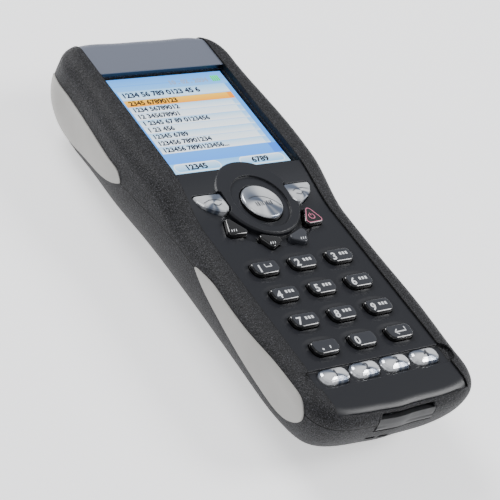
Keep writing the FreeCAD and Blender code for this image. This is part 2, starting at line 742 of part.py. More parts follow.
def port_cover():
    cover = block(size("flap_half"), -HALF - 5.0, -55.0, size("flap_low"), size("flap_high"))
    cover = cover.common(OUTER).cut(body_form(size("flap_thick")))
    length = 2 * size("flap_half")
    axis = V(-size("flap_half"), size("flap_pin_y"), size("flap_pin_z"))
    barrel = Part.makeCylinder(size("flap_pin_radius") + 0.5, length, axis, V(1, 0, 0))
    bore = Part.makeCylinder(size("flap_pin_radius") + 0.05, length + 2.0, axis - V(1, 0, 0), V(1, 0, 0))
    formed("port_cover", cover.fuse(barrel).cut(bore).removeSplitter())
    pin = doc.addObject("Part::Cylinder", "port_cover_pin")
    pin.setExpression("Radius", "Sizes.flap_pin_radius")
    pin.setExpression("Height", "2 * Sizes.flap_half + 3.0")
    pin.Placement.Rotation = FreeCAD.Rotation(V(0, 1, 0), 90)
    pin.setExpression("Placement.Base.x", "-Sizes.flap_half - 1.5")
    pin.setExpression("Placement.Base.y", "Sizes.flap_pin_y")
    pin.setExpression("Placement.Base.z", "Sizes.flap_pin_z")
    PIECES.append(pin)


# What the housings hold

def board():
    body = doc.addObject("PartDesign::Body", "main_board")
    outline_points = [(-11.5, -60.0), (11.5, -60.0), (16.5, -60.0), (20.5, -54.0), (22.6, -40.0),
                      (22.6, 52.0), (17.5, 58.0), (-17.5, 58.0), (-22.6, 52.0), (-22.6, -40.0),
                      (-20.5, -54.0), (-16.5, -60.0)]
    corners = [V(x, y, 0) for x, y in outline_points]
    wire = Part.makePolygon(corners + [corners[0]])
    sketch = wire_sketch(body, "board_outline", wire, "Sizes.board_low")
    for x, y, seat in SCREWS:
        sketch.addGeometry(Part.Circle(V(x, y, 0), V(0, 0, 1), size("screw_radius") + 0.25))
    pad = body.newObject("PartDesign::Pad", "board_pad")
    pad.Profile = sketch
    pad.setExpression("Length", "Sizes.board_thick")
    PIECES.append(body)


def keypad_mat():
    low = size("mat_low")
    mat = block(20.4, -54.2, 9.2, low, low + 0.6)
    pads = []
    for wire, flange, (x, y) in KEYS:
        pads.append(block(1.3, y - 1.3, y + 1.3, size("board_low") + size("board_thick") + 0.7, low, x))
    formed("keypad_mat", mat.multiFuse(pads).removeSplitter())


def dome_sheet():
    low = size("board_low") + size("board_thick")
    film = block(20.4, -54.2, 9.2, low, low + 0.15)

    def six_sided(x, y, radius, level):
        corners = [V(x + radius * math.cos(math.radians(60.0 * i)),
                     y + radius * math.sin(math.radians(60.0 * i)), level) for i in range(6)]
        return Part.makePolygon(corners + [corners[0]])

    domes = [Part.makeLoft([six_sided(x, y, 2.0, low + 0.15), six_sided(x, y, 1.1, low + 0.5)], True, True)
             for wire, flange, (x, y) in KEYS]
    formed("dome_sheet", Part.makeCompound([film] + domes))


def battery():
    slab("battery_pack", "Sizes.battery_width", "Sizes.battery_length", "Sizes.battery_y",
         "Sizes.battery_low", "Sizes.battery_thick", "Sizes.battery_round")
    base = block(5.0, 2.3, 5.0, 4.2, 7.8)
    pins = [block(0.4, 5.6, 6.2, 5.0, size("board_low"), x) for x in (-3.0, 0.0, 3.0)]
    arms = [block(0.4, 4.8, 6.2, 5.0, 5.6, x) for x in (-3.0, 0.0, 3.0)]
    formed("battery_contacts", base.multiFuse(pins + arms).removeSplitter())


def scan_engine():
    engine = block(11.0, 44.6, 57.6, 4.6, size("board_low") - 0.4)
    mirror_bay = block(8.6, 54.4, 60.0, 5.8, size("board_low") - 1.6)
    lens = Part.makeCylinder(2.2, 3.0, V(5.0, 52.0, 8.7), V(0, 1, 0))
    feet = [post(x, 49.0, 1.6, size("board_low") - 0.4, size("board_low")) for x in (-8.0, 8.0)]
    formed("scan_engine", engine.cut(mirror_bay).multiFuse([lens] + feet).removeSplitter())
    formed("scan_window", tilted(block(12.0, -0.7, 0.5, -4.2, 4.2)))
    strip_path = Part.makePolygon([V(0, 44.6, 7.0), V(0, 43.6, 7.0), V(0, 43.6, size("board_low")),
                                   V(0, 43.3, size("board_low")), V(0, 43.3, 6.7), V(0, 44.6, 6.7),
                                   V(0, 44.6, 7.0)])
    formed("scan_ribbon", profile_along_x(strip_path, -5.0, 5.0))


def beeper():
    piece = doc.addObject("Part::Cylinder", "beeper")
    piece.setExpression("Radius", "Sizes.beeper_radius")
    piece.setExpression("Height", "Sizes.beeper_height")
    piece.setExpression("Placement.Base.x", "-Sizes.beeper_x")
    piece.setExpression("Placement.Base.y", "Sizes.beeper_y")
    piece.setExpression("Placement.Base.z", "Sizes.board_low - Sizes.beeper_height")
    PIECES.append(piece)


def connector():
    level = size("board_low") + size("board_thick")
    shell = block(4.6, -62.2, -56.6, level, level + 3.2)
    mouth = block(3.9, -63.0, -58.6, level + 0.5, level + 2.7)
    tongue = block(2.8, -61.8, -58.0, level + 1.3, level + 1.9)
    formed("interface_connector", shell.cut(mouth).fuse(tongue))


def housing_screws():
    group = []
    for x, y, seat in SCREWS:
        head = post(x, y, 1.9, seat - 1.3, seat)
        head = head.cut(block(1.3, y - 0.25, y + 0.25, 0.0, seat - 0.8, x))
        group.append(head.fuse(post(x, y, size("screw_radius") - 0.05, seat - 0.3, 17.0)))
    formed("housing_screws", Part.makeCompound([g.removeSplitter() for g in group]))


face_plates()
display()
POCKETS = side_inserts()
front_housing(POCKETS)
rear_housing(POCKETS)
housing_seal()
battery_door()
battery()
board()
keypad_mat()
dome_sheet()
scan_engine()
beeper()
port_cover()
connector()
housing_screws()

# Every object built, every piece one sound shape, then the files

doc.recompute()
for item in doc.Objects:
    if "Invalid" in item.State or "Error" in item.State:
        raise RuntimeError("failed: " + item.Label)
for piece in PIECES:
    if piece.Shape.isNull() or not piece.Shape.isValid():
        raise RuntimeError("not sound: " + piece.Label)

os.makedirs("parts", exist_ok=True)
for piece in PIECES:
    piece.Shape.exportStep("parts/%s.step" % piece.Label)
    print(piece.Label, len(piece.Shape.Solids), round(piece.Shape.Volume, 1))
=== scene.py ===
import math
import bpy
import bmesh
from mathutils import Matrix, Vector


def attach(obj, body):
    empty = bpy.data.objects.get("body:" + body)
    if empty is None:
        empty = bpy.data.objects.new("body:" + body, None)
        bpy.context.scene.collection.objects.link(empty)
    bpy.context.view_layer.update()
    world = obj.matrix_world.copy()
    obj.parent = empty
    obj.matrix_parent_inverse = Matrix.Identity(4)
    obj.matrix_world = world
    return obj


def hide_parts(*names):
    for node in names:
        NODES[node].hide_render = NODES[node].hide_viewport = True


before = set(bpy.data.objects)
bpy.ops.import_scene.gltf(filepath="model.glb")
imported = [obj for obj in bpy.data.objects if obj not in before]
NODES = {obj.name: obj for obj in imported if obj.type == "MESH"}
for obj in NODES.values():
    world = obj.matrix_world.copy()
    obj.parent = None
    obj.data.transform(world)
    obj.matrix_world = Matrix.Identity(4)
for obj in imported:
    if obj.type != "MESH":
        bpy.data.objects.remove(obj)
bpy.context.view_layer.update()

MM = 0.001
HOUSING = "housing"

# Sizes of the object, in millimetres

PANEL_HALF_HANDLE, PANEL_HALF_HEAD = 21.1, 20.3
STEP_START, STEP_END = 15.9, -2.6
PARTING_HANDLE, PARTING_HEAD = 16.9, 14.5
PARTING_START, PARTING_END = 24.0, -3.0
DISC_Y = 4.4
SCAN_Y, SCAN_RADIUS = 2.5, 5.8
KEY_PITCH, KEY_ROW, KEY_FIRST = 12.0, 8.7, -17.2
KEY_WIDE, KEY_DEEP, KEY_TOP = 8.0, 4.2, 21.8
FUNCTION_PITCH, FUNCTION_Y, FUNCTION_TOP = 9.8, -51.2, 21.5
FUNCTION_WIDE, FUNCTION_DEEP = 8.7, 4.5
SMALL_TOP, SOFT_TOP = 21.9, 22.9
FLANGE_LOW, FLANGE_HIGH, FLANGE_REACH, FUNCTION_REACH = 18.4, 19.1, 0.5, 0.25
CAP_INSET = 0.02
PRINT_LIFT = 0.015

# The lit picture: its place in millimetres, and the parts that its layout is divided into

DISPLAY_LEFT, DISPLAY_TOP = -18.0, 51.4
DISPLAY_WIDE, DISPLAY_HIGH = 37.8, 35.7
IMAGE_LEVEL, IMAGE_LAYER = 21.72, 0.002
PARTS_WIDE, PARTS_HIGH = 1200.0, 1050.0
VIVIDNESS = 1.9

# The view: place in millimetres, angles in degrees

VIEW_PLACE = (-329.823, -251.709, 312.497)
VIEW_HEADING, VIEW_FALL, VIEW_ROLL = 52.8, 36.168, 28.71
VIEW_LENS, VIEW_SENSOR = 148.5646, 36.0


# Stronger colour, for what shines from the display
def vivid(red, green, blue):
    grey = (red + green + blue) / 3.0
    return srgb(*[max(0.0, min(255.0, grey + (c - grey) * VIVIDNESS)) for c in (red, green, blue)])


def srgb(red, green, blue):
    linear = []
    for part in (red, green, blue):
        c = part / 255.0
        linear.append(c / 12.92 if c < 0.04045 else ((c + 0.055) / 1.055) ** 2.4)
    return (*linear, 1.0)


# Camera, as the photograph was taken

camera = bpy.data.objects.new("camera", bpy.data.cameras.new("camera"))
camera.data.lens = VIEW_LENS
camera.data.sensor_width = VIEW_SENSOR
camera.data.clip_start = 0.01
heading, fall, roll = (math.radians(a) for a in (VIEW_HEADING, VIEW_FALL, VIEW_ROLL))
forward = Vector((math.cos(fall) * math.sin(heading), math.cos(fall) * math.cos(heading), -math.sin(fall)))
level_right = forward.cross(Vector((0.0, 0.0, 1.0))).normalized()
level_up = level_right.cross(forward)
right = level_right * math.cos(roll) + level_up * math.sin(roll)
turn = Matrix((right, right.cross(forward), -forward)).transposed().to_4x4()
camera.matrix_world = Matrix.Translation(Vector(VIEW_PLACE) * MM) @ turn
bpy.context.scene.collection.objects.link(camera)
bpy.context.scene.camera = camera


# Finishes

class Wire:
    """A shader socket that can be used in sums."""

    def __init__(self, finish, socket):
        self.finish = finish
        self.socket = socket

    def maths(self, operation, *values):
        return self.finish.node("ShaderNodeMath", {"operation": operation}, *values)

    def __add__(self, other):
        return self.maths("ADD", self, other)

    def __radd__(self, other):
        return self.maths("ADD", other, self)

    def __sub__(self, other):
        return self.maths("SUBTRACT", self, other)

    def __rsub__(self, other):
        return self.maths("SUBTRACT", other, self)

    def __mul__(self, other):
        return self.maths("MULTIPLY", self, other)

    def __rmul__(self, other):
        return self.maths("MULTIPLY", other, self)

    def __truediv__(self, other):
        return self.maths("DIVIDE", self, other)

    def __pow__(self, other):
        return self.maths("POWER", self, other)

    def __abs__(self):
        return self.maths("ABSOLUTE", self)

    def rounded(self, low, high):
        whole = self.maths("ROUND", self)
        return self.finish.node("ShaderNodeClamp", {}, whole, low, high)

    def rising(self, low, high):
        return self.finish.node("ShaderNodeMapRange", {"interpolation_type": "SMOOTHSTEP"},
                                self, low, high, 0.0, 1.0)


class Finish:
    """A material, with its place on the object in millimetres."""

    def __init__(self, name, colour, roughness, **constants):
        self.material = bpy.data.materials.new(name)
        self.material.use_nodes = True
        self.tree = self.material.node_tree
        self.shader = self.tree.nodes["Principled BSDF"]
        self.put("Base Color", colour)
        self.put("Roughness", roughness)
        for key, value in constants.items():
            self.put(key.replace("_", " "), value)
        self.place = None

    def put(self, name, value):
        socket = self.shader.inputs[name]
        if isinstance(value, Wire):
            self.tree.links.new(value.socket, socket)
        else:
            socket.default_value = value

    def node(self, kind, settings, *values, output=0, **named):
        node = self.tree.nodes.new(kind)
        for key, value in settings.items():
            setattr(node, key, value)
        pairs = list(enumerate(values)) + [(key.replace("_", " "), v) for key, v in named.items()]
        for key, value in pairs:
            if isinstance(value, Wire):
                self.tree.links.new(value.socket, node.inputs[key])
            elif value is not None:
                node.inputs[key].default_value = value
        return Wire(self, node.outputs[output])

    def millimetres(self):
        if self.place is None:
            where = self.node("ShaderNodeTexCoord", {}, output="Object")
            self.place = self.node("ShaderNodeVectorMath", {"operation": "SCALE"}, where, Scale=1000.0)
        return self.place

    def axes(self):
        split = self.node("ShaderNodeSeparateXYZ", {}, self.millimetres())
        node = split.socket.node
        return [Wire(self, node.outputs[i]) for i in range(3)]

    def noise(self, scale, detail=2.0, roughness=0.5):
        return self.node("ShaderNodeTexNoise", {}, self.millimetres(), Scale=scale, Detail=detail,
                         Roughness=roughness)

    def cells(self, scale):
        return self.node("ShaderNodeTexVoronoi", {}, self.millimetres(), Scale=scale, output="Distance")

    def mix(self, mask, first, second):
        node = self.tree.nodes.new("ShaderNodeMix")
        node.data_type = "RGBA"
        for index, value in ((0, mask), (6, first), (7, second)):
            if isinstance(value, Wire):
                self.tree.links.new(value.socket, node.inputs[index])
            else:
                node.inputs[index].default_value = value
        return Wire(self, node.outputs[2])

    def edge(self, radius):
        return self.node("ShaderNodeBevel", {"samples": 4}, radius * MM)

    def relief(self, height, depth, strength=1.0, normal=None):
        bump = self.node("ShaderNodeBump", {}, Strength=strength, Distance=depth * MM, Height=height,
                         Normal=normal)
        self.put("Normal", bump)


def shell_finish():
    f = Finish("shell_texture", srgb(20, 20, 22), 0.5, Specular_IOR_Level=0.27)
    x, y, z = f.axes()
    pits = f.cells(1.5)
    grain = f.noise(2.6, 3.0, 0.6)
    fine = f.noise(7.0, 1.0)
    risen = ((PARTING_START - y) / (PARTING_START - PARTING_END)).rising(0.0, 1.0)
    joint = abs(z - (PARTING_HEAD + risen * (PARTING_HANDLE - PARTING_HEAD)))
    line = 1.0 - joint.rising(0.08, 0.2)
    # Painted shade: a dark band where the rim's inner wall meets the face panel; the parting line beside it
    # is a dark joint
    fallen = ((STEP_START - y) / (STEP_START - STEP_END)).rising(0.0, 1.0)
    border = PANEL_HALF_HEAD + fallen * (PANEL_HALF_HANDLE - PANEL_HALF_HEAD)
    on_rim = z.rising(19.4, 20.2)
    rim_wall_shade = (1.0 - abs(abs(x) - border).rising(0.1, 0.24)) * on_rim
    dark = f.node("ShaderNodeMath", {"operation": "MAXIMUM"}, line, rim_wall_shade)
    shade = f.mix(grain.rising(0.35, 0.7), srgb(5, 5, 6), srgb(19, 19, 21))
    # Painted glints: light specks on the grain stand in for light catching it
    painted_glints = f.mix(fine.rising(0.57, 0.66), shade, srgb(84, 84, 89))
    f.put("Base Color", f.mix(dark, painted_glints, srgb(8, 8, 9)))
    f.put("Roughness", 0.42 + grain * 0.25)
    height = pits * 0.5 + grain * 0.9 + fine * 0.25 - line * 1.5
    f.relief(height, 0.2, 1.0, f.edge(0.3))
    return f.material


def panel_finish(name, low, high):
    f = Finish(name, low, 0.4, Specular_IOR_Level=0.4)
    x, y, z = f.axes()
    dish_wide, dish_deep, squareness = 5.3, 3.4, 2.6
    column = abs(x - (x / KEY_PITCH).rounded(-1.0, 1.0) * KEY_PITCH) / dish_wide
    row = abs(y - KEY_FIRST + ((KEY_FIRST - y) / KEY_ROW).rounded(0.0, 3.0) * KEY_ROW) / dish_deep
    dish = (column ** squareness + row ** squareness).rising(0.3, 1.6)
    satin = f.noise(6.0, 2.0)
    # Painted shade: the panel's wall along the top of the display opening is made near black
    opening_wall_shade = (1.0 - abs(y - DISPLAY_TOP).rising(0.04, 0.08)) * (1.0 - z.rising(23.4, 23.6))
    # Painted sheen: the colour goes from low to high towards the head end, where light glances off the
    # satin
    f.put("Base Color", f.mix(opening_wall_shade, f.mix(y.rising(-30.0, 60.0), low, high), srgb(4, 4, 5)))
    f.put("Roughness", 0.36 + satin * 0.1)
    f.relief(dish + satin * 0.02, 0.22, 1.0, f.edge(0.35))
    return f.material


def plain_finish(name, colour, roughness, grain=0.03, **constants):
    f = Finish(name, colour, roughness, **constants)
    soft = f.noise(3.0, 3.0)
    darker = tuple(c * 0.82 for c in colour[:3]) + (1.0,)
    f.put("Base Color", f.mix(soft, darker, colour))
    f.put("Roughness", roughness * 0.85 + soft * roughness * 0.3)
    f.relief(soft, grain, 0.6, f.edge(0.15))
    return f.material


def key_finish():
    f = Finish("key_lacquer", srgb(10, 10, 11), 0.1, Coat_Weight=0.6, Coat_Roughness=0.05)
    z = f.axes()[2]
    facing = f.node("ShaderNodeNewGeometry", {}, output="Normal")
    upward = f.node("ShaderNodeSeparateXYZ", {}, facing, output="Z")
    top = upward.rising(0.93, 0.985) * z.rising(21.2, 21.5)
    f.put("Base Color", f.mix(top, srgb(6, 6, 7), srgb(44, 46, 52)))
    f.put("Roughness", 0.08 + top * 0.3)
    f.put("Coat Weight", 0.8 - top * 0.7)
    return f.material


def gloss_finish(name, colour):
    f = Finish(name, colour, 0.07, Coat_Weight=0.7, Coat_Roughness=0.04)
    z = f.axes()[2]
    # Painted shade: the key's sides go darker below the level of the face panel
    f.put("Base Color", f.mix(z.rising(20.6, 21.4), srgb(5, 5, 6), colour))
    f.relief(f.noise(0.6, 1.0), 0.05, 0.4)
    return f.material


# Plating with painted reflections: light and grey sectors, painted into its colour, turn about the middle
# of each key
def bright_finish(name, mid_x, mid_y, pitch=0.0):
    f = Finish(name, srgb(240, 243, 248), 0.14, Metallic=0.55, Coat_Weight=0.6, Coat_Roughness=0.03)
    x, y = f.axes()[:2]
    if pitch:
        across = x - ((x / pitch + 0.5).rounded(-1.0, 2.0) - 0.5) * pitch
    else:
        across = abs(x) - mid_x if mid_x else x
    along = y - mid_y
    angle = f.node("ShaderNodeMath", {"operation": "ARCTAN2"}, along, across)
    wave = f.node("ShaderNodeMath", {"operation": "SINE"}, angle * 2.0 + 0.5)
    ripple = f.node("ShaderNodeMath", {"operation": "SINE"}, angle * 5.0 + across * 0.8)
    # Painted reflection: the sectors stand in for the pale studio and the dark body mirrored in the plating
    shade = (wave * 0.75 + ripple * 0.35).rising(-0.9, 0.7)
    f.put("Base Color", f.mix(shade, srgb(104, 114, 132), srgb(252, 253, 255)))
    f.put("Roughness", 0.1 + (1.0 - shade) * 0.12)
    return f.material


def image_finish():
    f = Finish("display_image", srgb(10, 10, 12), 0.5, Emission_Strength=1.95)
    f.put("Emission Color", f.node("ShaderNodeAttribute", {"attribute_name": "tint"}, output="Color"))
    return f.material


def window_finish():
    f = Finish("window_clear", srgb(20, 22, 26), 0.06, Alpha=0.05, Specular_IOR_Level=0.15)
    smear = f.noise(0.2, 2.0)
    f.put("Roughness", 0.04 + smear * 0.06)
    return f.material


def insert_finish():
    f = Finish("insert_satin", srgb(205, 203, 199), 0.5)
    fine = f.noise(5.0, 2.0)
    wide = f.noise(0.12, 2.0)
    f.put("Base Color", f.mix(wide, srgb(158, 156, 152), srgb(174, 172, 168)))
    f.put("Roughness", 0.42 + fine * 0.16)
    f.relief(fine, 0.03, 0.6, f.edge(0.45))
    return f.material


SHELL = shell_finish()
# The brow panel is the same satin as the face panel; its lighter colours are painted sheen
PANEL = panel_finish("panel_satin", srgb(26, 27, 32), srgb(34, 36, 42))
BROW_SHEEN = panel_finish("brow_satin_painted_sheen", srgb(80, 84, 96), srgb(102, 107, 120))
KEY = key_finish()
GLOSS = gloss_finish("small_key_gloss", srgb(14, 13, 14))
SATIN_KEY = plain_finish("small_key_satin", srgb(56, 58, 64), 0.4)
SCAN_BRIGHT = bright_finish("scan_plating_painted_reflections", 0.0, SCAN_Y - 0.6)
SOFT_BRIGHT = bright_finish("soft_key_plating_painted_reflections", 14.2, 4.4)
FUNCTION_BRIGHT = bright_finish("function_key_plating", 0.0, FUNCTION_Y, FUNCTION_PITCH)
IMAGE = image_finish()
WINDOW = window_finish()
INSERT = insert_finish()
PRINT = plain_finish("white_print", srgb(236, 238, 240), 0.45, 0.0)
DARK_PRINT = plain_finish("grey_print", srgb(70, 72, 78), 0.45, 0.0)
PINK_PRINT = plain_finish("pink_print", srgb(226, 130, 160), 0.4, 0.0)
BLACK = plain_finish("black_moulding", srgb(18, 18, 20), 0.4)
RUBBER = plain_finish("black_rubber", srgb(22, 22, 23), 0.75)
MAT = plain_finish("grey_silicone", srgb(150, 150, 152), 0.65)
METAL = plain_finish("plain_steel", srgb(180, 182, 186), 0.3, Metallic=1.0)
COPPER = plain_finish("plated_contacts", srgb(212, 190, 130), 0.28, Metallic=1.0)
AMBER = plain_finish("amber_film", srgb(176, 104, 32), 0.35)
GREEN = plain_finish("board_lacquer", srgb(20, 92, 50), 0.35)
WRAP = plain_finish("battery_wrap", srgb(64, 68, 78), 0.4)
RED = plain_finish("red_filter", srgb(90, 10, 14), 0.08, 0.0, Coat_Weight=0.5)
SMOOTH_BLACK = plain_finish("flap_moulding", srgb(20, 21, 24), 0.4)


# Meshes

def link(name, mesh, *materials):
    for material in materials:
        mesh.materials.append(material)
    piece = bpy.data.objects.new(name, mesh)
    bpy.context.scene.collection.objects.link(piece)
    return piece


def ready(piece, body, slot, *nodes):
    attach(piece, body)
    if nodes:
        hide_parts(*nodes)
    return piece


# A copy of a node, rebuilt from its corners and faces alone, whose gentle bends shade smoothly
def smoothed(node, body, slot, material, angle=32.0):
    source = NODES[node].data
    form = bmesh.new()
    form.from_mesh(source)
    bmesh.ops.remove_doubles(form, verts=form.verts, dist=2e-6)
    bmesh.ops.dissolve_degenerate(form, edges=form.edges, dist=1e-6)
    form.verts.index_update()
    mesh = bpy.data.meshes.new(node + "_skin")
    mesh.from_pydata([tuple(v.co) for v in form.verts], [],
                     [[v.index for v in face.verts] for face in form.faces])
    form.free()
    clean = bmesh.new()
    clean.from_mesh(mesh)
    limit = math.radians(angle)
    for face in clean.faces:
        face.smooth = True
    for edge in clean.edges:
        edge.smooth = len(edge.link_faces) == 2 and edge.calc_face_angle(math.pi) < limit
    clean.to_mesh(mesh)
    clean.free()
    return ready(link(node + "_skin", mesh, material), body, slot, node)


# Rings of points stacked up into a closed form; the last one is drawn together in a crown
def stacked(name, outline, levels, crown, material, smooth=True, facets=(0.8, 0.5, 0.0)):
    count = len(outline)
    mid = Vector((sum(p[0] for p in outline) / count, sum(p[1] for p in outline) / count))

    def inset(amount):
        ring = []
        for i in range(count):
            before, here, after = (Vector(outline[(i + k) % count]) for k in (-1, 0, 1))
            along = (after - before).normalized()
            ring.append(here + Vector((-along.y, along.x)) * amount)
        return ring

    form = bmesh.new()
    rings = []
    for level, amount in levels:
        rings.append([form.verts.new((p.x * MM, p.y * MM, level * MM)) for p in inset(amount)])
    top, amount = levels[-1]
    edge = inset(amount)
    for scale in facets[:-1]:
        rise = top + crown * (1.0 - scale * scale)
        rings.append([form.verts.new(((mid.x + (p.x - mid.x) * scale) * MM,
                                      (mid.y + (p.y - mid.y) * scale) * MM, rise * MM)) for p in edge])
    peak = form.verts.new((mid.x * MM, mid.y * MM, (top + crown) * MM))
    for low, high in zip(rings, rings[1:]):
        for i in range(count):
            j = (i + 1) % count
            form.faces.new((low[i], low[j], high[j], high[i]))
    for i in range(count):
        form.faces.new((rings[-1][i], rings[-1][(i + 1) % count], peak))
    form.faces.new(list(reversed(rings[0])))
    bmesh.ops.recalc_face_normals(form, faces=form.faces)
    for face in form.faces:
        face.smooth = smooth
    for edge in form.edges:
        edge.smooth = smooth and edge.calc_face_angle(0.0) < math.radians(50.0)
    mesh = bpy.data.meshes.new(name)
    form.to_mesh(mesh)
    form.free()
    return link(name, mesh, material)


def arc(x, y, radius, start, end, steps):
    points = []
    for i in range(steps + 1):
        a = math.radians(start + (end - start) * i / steps)
        points.append((x + radius * math.cos(a), y + radius * math.sin(a)))
    return points


# Upper corners small, lower corners wide
def smile(x, y, wide, deep, upper, lower, steps):
    left, right_side = x - wide / 2.0, x + wide / 2.0
    high, low = y + deep / 2.0, y - deep / 2.0
    points = arc(right_side - upper, high - upper, upper, 0.0, 90.0, steps)
    points += arc(left + upper, high - upper, upper, 90.0, 180.0, steps)
    points += arc(left + lower, low + lower, lower, 180.0, 270.0, steps)
    points += arc(right_side - lower, low + lower, lower, 270.0, 360.0, steps)
    return points


# A flange, and the wall that rises from it to a shoulder: levels, each with its inset
def flanged(shoulder, reach=FLANGE_REACH):
    return [(FLANGE_LOW, -reach), (FLANGE_HIGH, -reach), (FLANGE_HIGH, CAP_INSET), (shoulder, CAP_INSET)]


def key_levels(top, edge):
    levels = flanged(top - edge)
    for turned in (30.0, 60.0, 90.0):
        a = math.radians(turned)
        levels.append((top - edge + edge * math.sin(a), CAP_INSET + edge * (1.0 - math.cos(a))))
    return levels


# Printed marks

def flat_text(text, height, x, y, z, lean=0.0, wide=1.0, weight=0.03):
    curve = bpy.data.curves.new("text", "FONT")
    curve.body = text
    curve.size = height * 1.38
    curve.align_x = "CENTER"
    curve.align_y = "CENTER"
    curve.shear = lean
    curve.offset = weight * height
    curve.resolution_u = 3
    holder = bpy.data.objects.new("text", curve)
    bpy.context.scene.collection.objects.link(holder)
    mesh = bpy.data.meshes.new_from_object(holder)
    bpy.data.objects.remove(holder)
    mesh.transform(Matrix.Translation((x * MM, y * MM, z * MM)) @ Matrix.Diagonal((wide * MM, MM, MM, 1.0)))
    return mesh


# A line of one width through points, drawn flat
def stroke(points, width, z, closed=False):
    form = bmesh.new()
    sides = []
    count = len(points)
    for i, p in enumerate(points):
        before = Vector(points[i - 1] if i or closed else p)
        after = Vector(points[(i + 1) % count] if i < count - 1 or closed else p)
        along = (after - before).normalized()
        out = Vector((-along.y, along.x)) * width / 2.0
        here = Vector(p)
        sides.append([form.verts.new((q.x * MM, q.y * MM, z * MM)) for q in (here + out, here - out)])
    for i in range(count if closed else count - 1):
        (a, b), (c, d) = sides[i], sides[(i + 1) % count]
        form.faces.new((a, b, d, c))
    form.normal_update()
    bmesh.ops.recalc_face_normals(form, faces=form.faces)
    if sum(face.normal.z for face in form.faces) < 0:
        bmesh.ops.reverse_faces(form, faces=form.faces)
    mesh = bpy.data.meshes.new("stroke")
    form.to_mesh(mesh)
    form.free()
    return mesh


def joined(name, meshes, material):
    form = bmesh.new()
    for mesh in meshes:
        form.from_mesh(mesh)
    mesh = bpy.data.meshes.new(name)
    form.to_mesh(mesh)
    form.free()
    mesh.materials.clear()
    return link(name, mesh, material)


# Equal small bars in a row, grown from one bar

def bar_tree():
    tree = bpy.data.node_groups.new("row_of_bars", "GeometryNodeTree")
    sockets = {}
    for label, kind in (("Count", "NodeSocketInt"), ("Start", "NodeSocketVector"),
                        ("Step", "NodeSocketVector"), ("Size", "NodeSocketVector"),
                        ("Finish", "NodeSocketMaterial")):
        sockets[label] = tree.interface.new_socket(label, in_out="INPUT", socket_type=kind).identifier
    tree.interface.new_socket("Bars", in_out="OUTPUT", socket_type="NodeSocketGeometry")
    given = tree.nodes.new("NodeGroupInput")
    result = tree.nodes.new("NodeGroupOutput")
    places = tree.nodes.new("GeometryNodeMeshLine")
    bar = tree.nodes.new("GeometryNodeMeshCube")
    spread = tree.nodes.new("GeometryNodeInstanceOnPoints")
    real = tree.nodes.new("GeometryNodeRealizeInstances")
    coat = tree.nodes.new("GeometryNodeSetMaterial")
    for source, target in ((given.outputs["Count"], places.inputs["Count"]),
                           (given.outputs["Start"], places.inputs["Start Location"]),
                           (given.outputs["Step"], places.inputs["Offset"]),
                           (given.outputs["Size"], bar.inputs["Size"]),
                           (places.outputs["Mesh"], spread.inputs["Points"]),
                           (bar.outputs["Mesh"], spread.inputs["Instance"]),
                           (spread.outputs["Instances"], real.inputs["Geometry"]),
                           (real.outputs["Geometry"], coat.inputs["Geometry"]),
                           (given.outputs["Finish"], coat.inputs["Material"]),
                           (coat.outputs["Geometry"], result.inputs["Bars"])):
        tree.links.new(source, target)
    return tree, sockets


BAR_TREE, BAR_SOCKETS = bar_tree()


def bars(count, start, step, extent, material):
    holder = bpy.data.objects.new("bars", bpy.data.meshes.new("bars"))
    bpy.context.scene.collection.objects.link(holder)
    grow = holder.modifiers.new("bars", "NODES")
    grow.node_group = BAR_TREE
    values = {"Count": count, "Start": [c * MM for c in start], "Step": [c * MM for c in step],
              "Size": [c * MM for c in extent], "Finish": material}
    for label, value in values.items():
        grow[BAR_SOCKETS[label]] = value
    graph = bpy.context.evaluated_depsgraph_get()
    mesh = bpy.data.meshes.new_from_object(holder.evaluated_get(graph))
    bpy.data.objects.remove(holder)
    return mesh


# Shells, plates and inserts

for node in ("front_housing", "rear_housing", "battery_door"):
    body = "battery_door" if node == "battery_door" else HOUSING
    smoothed(node, body, "shell", SHELL)
smoothed("face_panel", HOUSING, "smooth_panel", PANEL)
smoothed("brow_panel", HOUSING, "smooth_panel", BROW_SHEEN)
for place in ("upper_left", "upper_right", "lower_left", "lower_right"):
    smoothed("side_insert_" + place, HOUSING, "insert", INSERT)
smoothed("port_cover", "port_cover", "cover", SMOOTH_BLACK)


# Number keys

def number_keys():
    symbols = ["1", "2", "3", "4", "5", "6", "7", "8", "9", None, "0", None]
    for i, symbol in enumerate(symbols):
        name = "number_key_%d" % (i + 1)
        x = KEY_PITCH * (i % 3 - 1)
        y = KEY_FIRST - KEY_ROW * (i // 3)
        outline = smile(x, y, KEY_WIDE, KEY_DEEP, 1.1, 1.9, 6)
        cap = stacked(name + "_cap", outline, key_levels(KEY_TOP, 0.45), 0.0, KEY)
        ready(cap, name, "key_black", name)
        level = KEY_TOP + PRINT_LIFT
        marks = []
        if symbol:
            marks.append(flat_text(symbol, 2.3, x - 2.3, y - 0.35, level, 0.12))
        if symbol and symbol not in "10":
            marks.append(bars(3, (x + 0.2, y + 0.3, level), (1.0, 0.0, 0.0), (0.62, 0.9, 0.02), PRINT))
        if symbol == "1":
            marks.append(stroke([(x - 0.2, y + 0.9), (x - 0.2, y), (x + 1.7, y), (x + 1.7, y + 0.9)],
                                0.26, level))
        if i == 9:
            marks.append(stroke(arc(x - 1.5, y - 0.8, 0.16, 0.0, 360.0, 8)[:-1], 0.3, level, True))
            marks.append(stroke([(x + 1.0, y - 0.1), (x + 0.8, y - 0.9)], 0.34, level))
        if i == 11:
            marks.append(stroke([(x + 1.9, y + 1.0), (x + 1.9, y - 0.2), (x - 1.6, y - 0.2)], 0.32, level))
            marks.append(stroke([(x - 0.8, y + 0.6), (x - 1.7, y - 0.2), (x - 0.8, y - 1.0)], 0.32, level))
        ready(joined(name + "_print", marks, PRINT), name, "key_black")


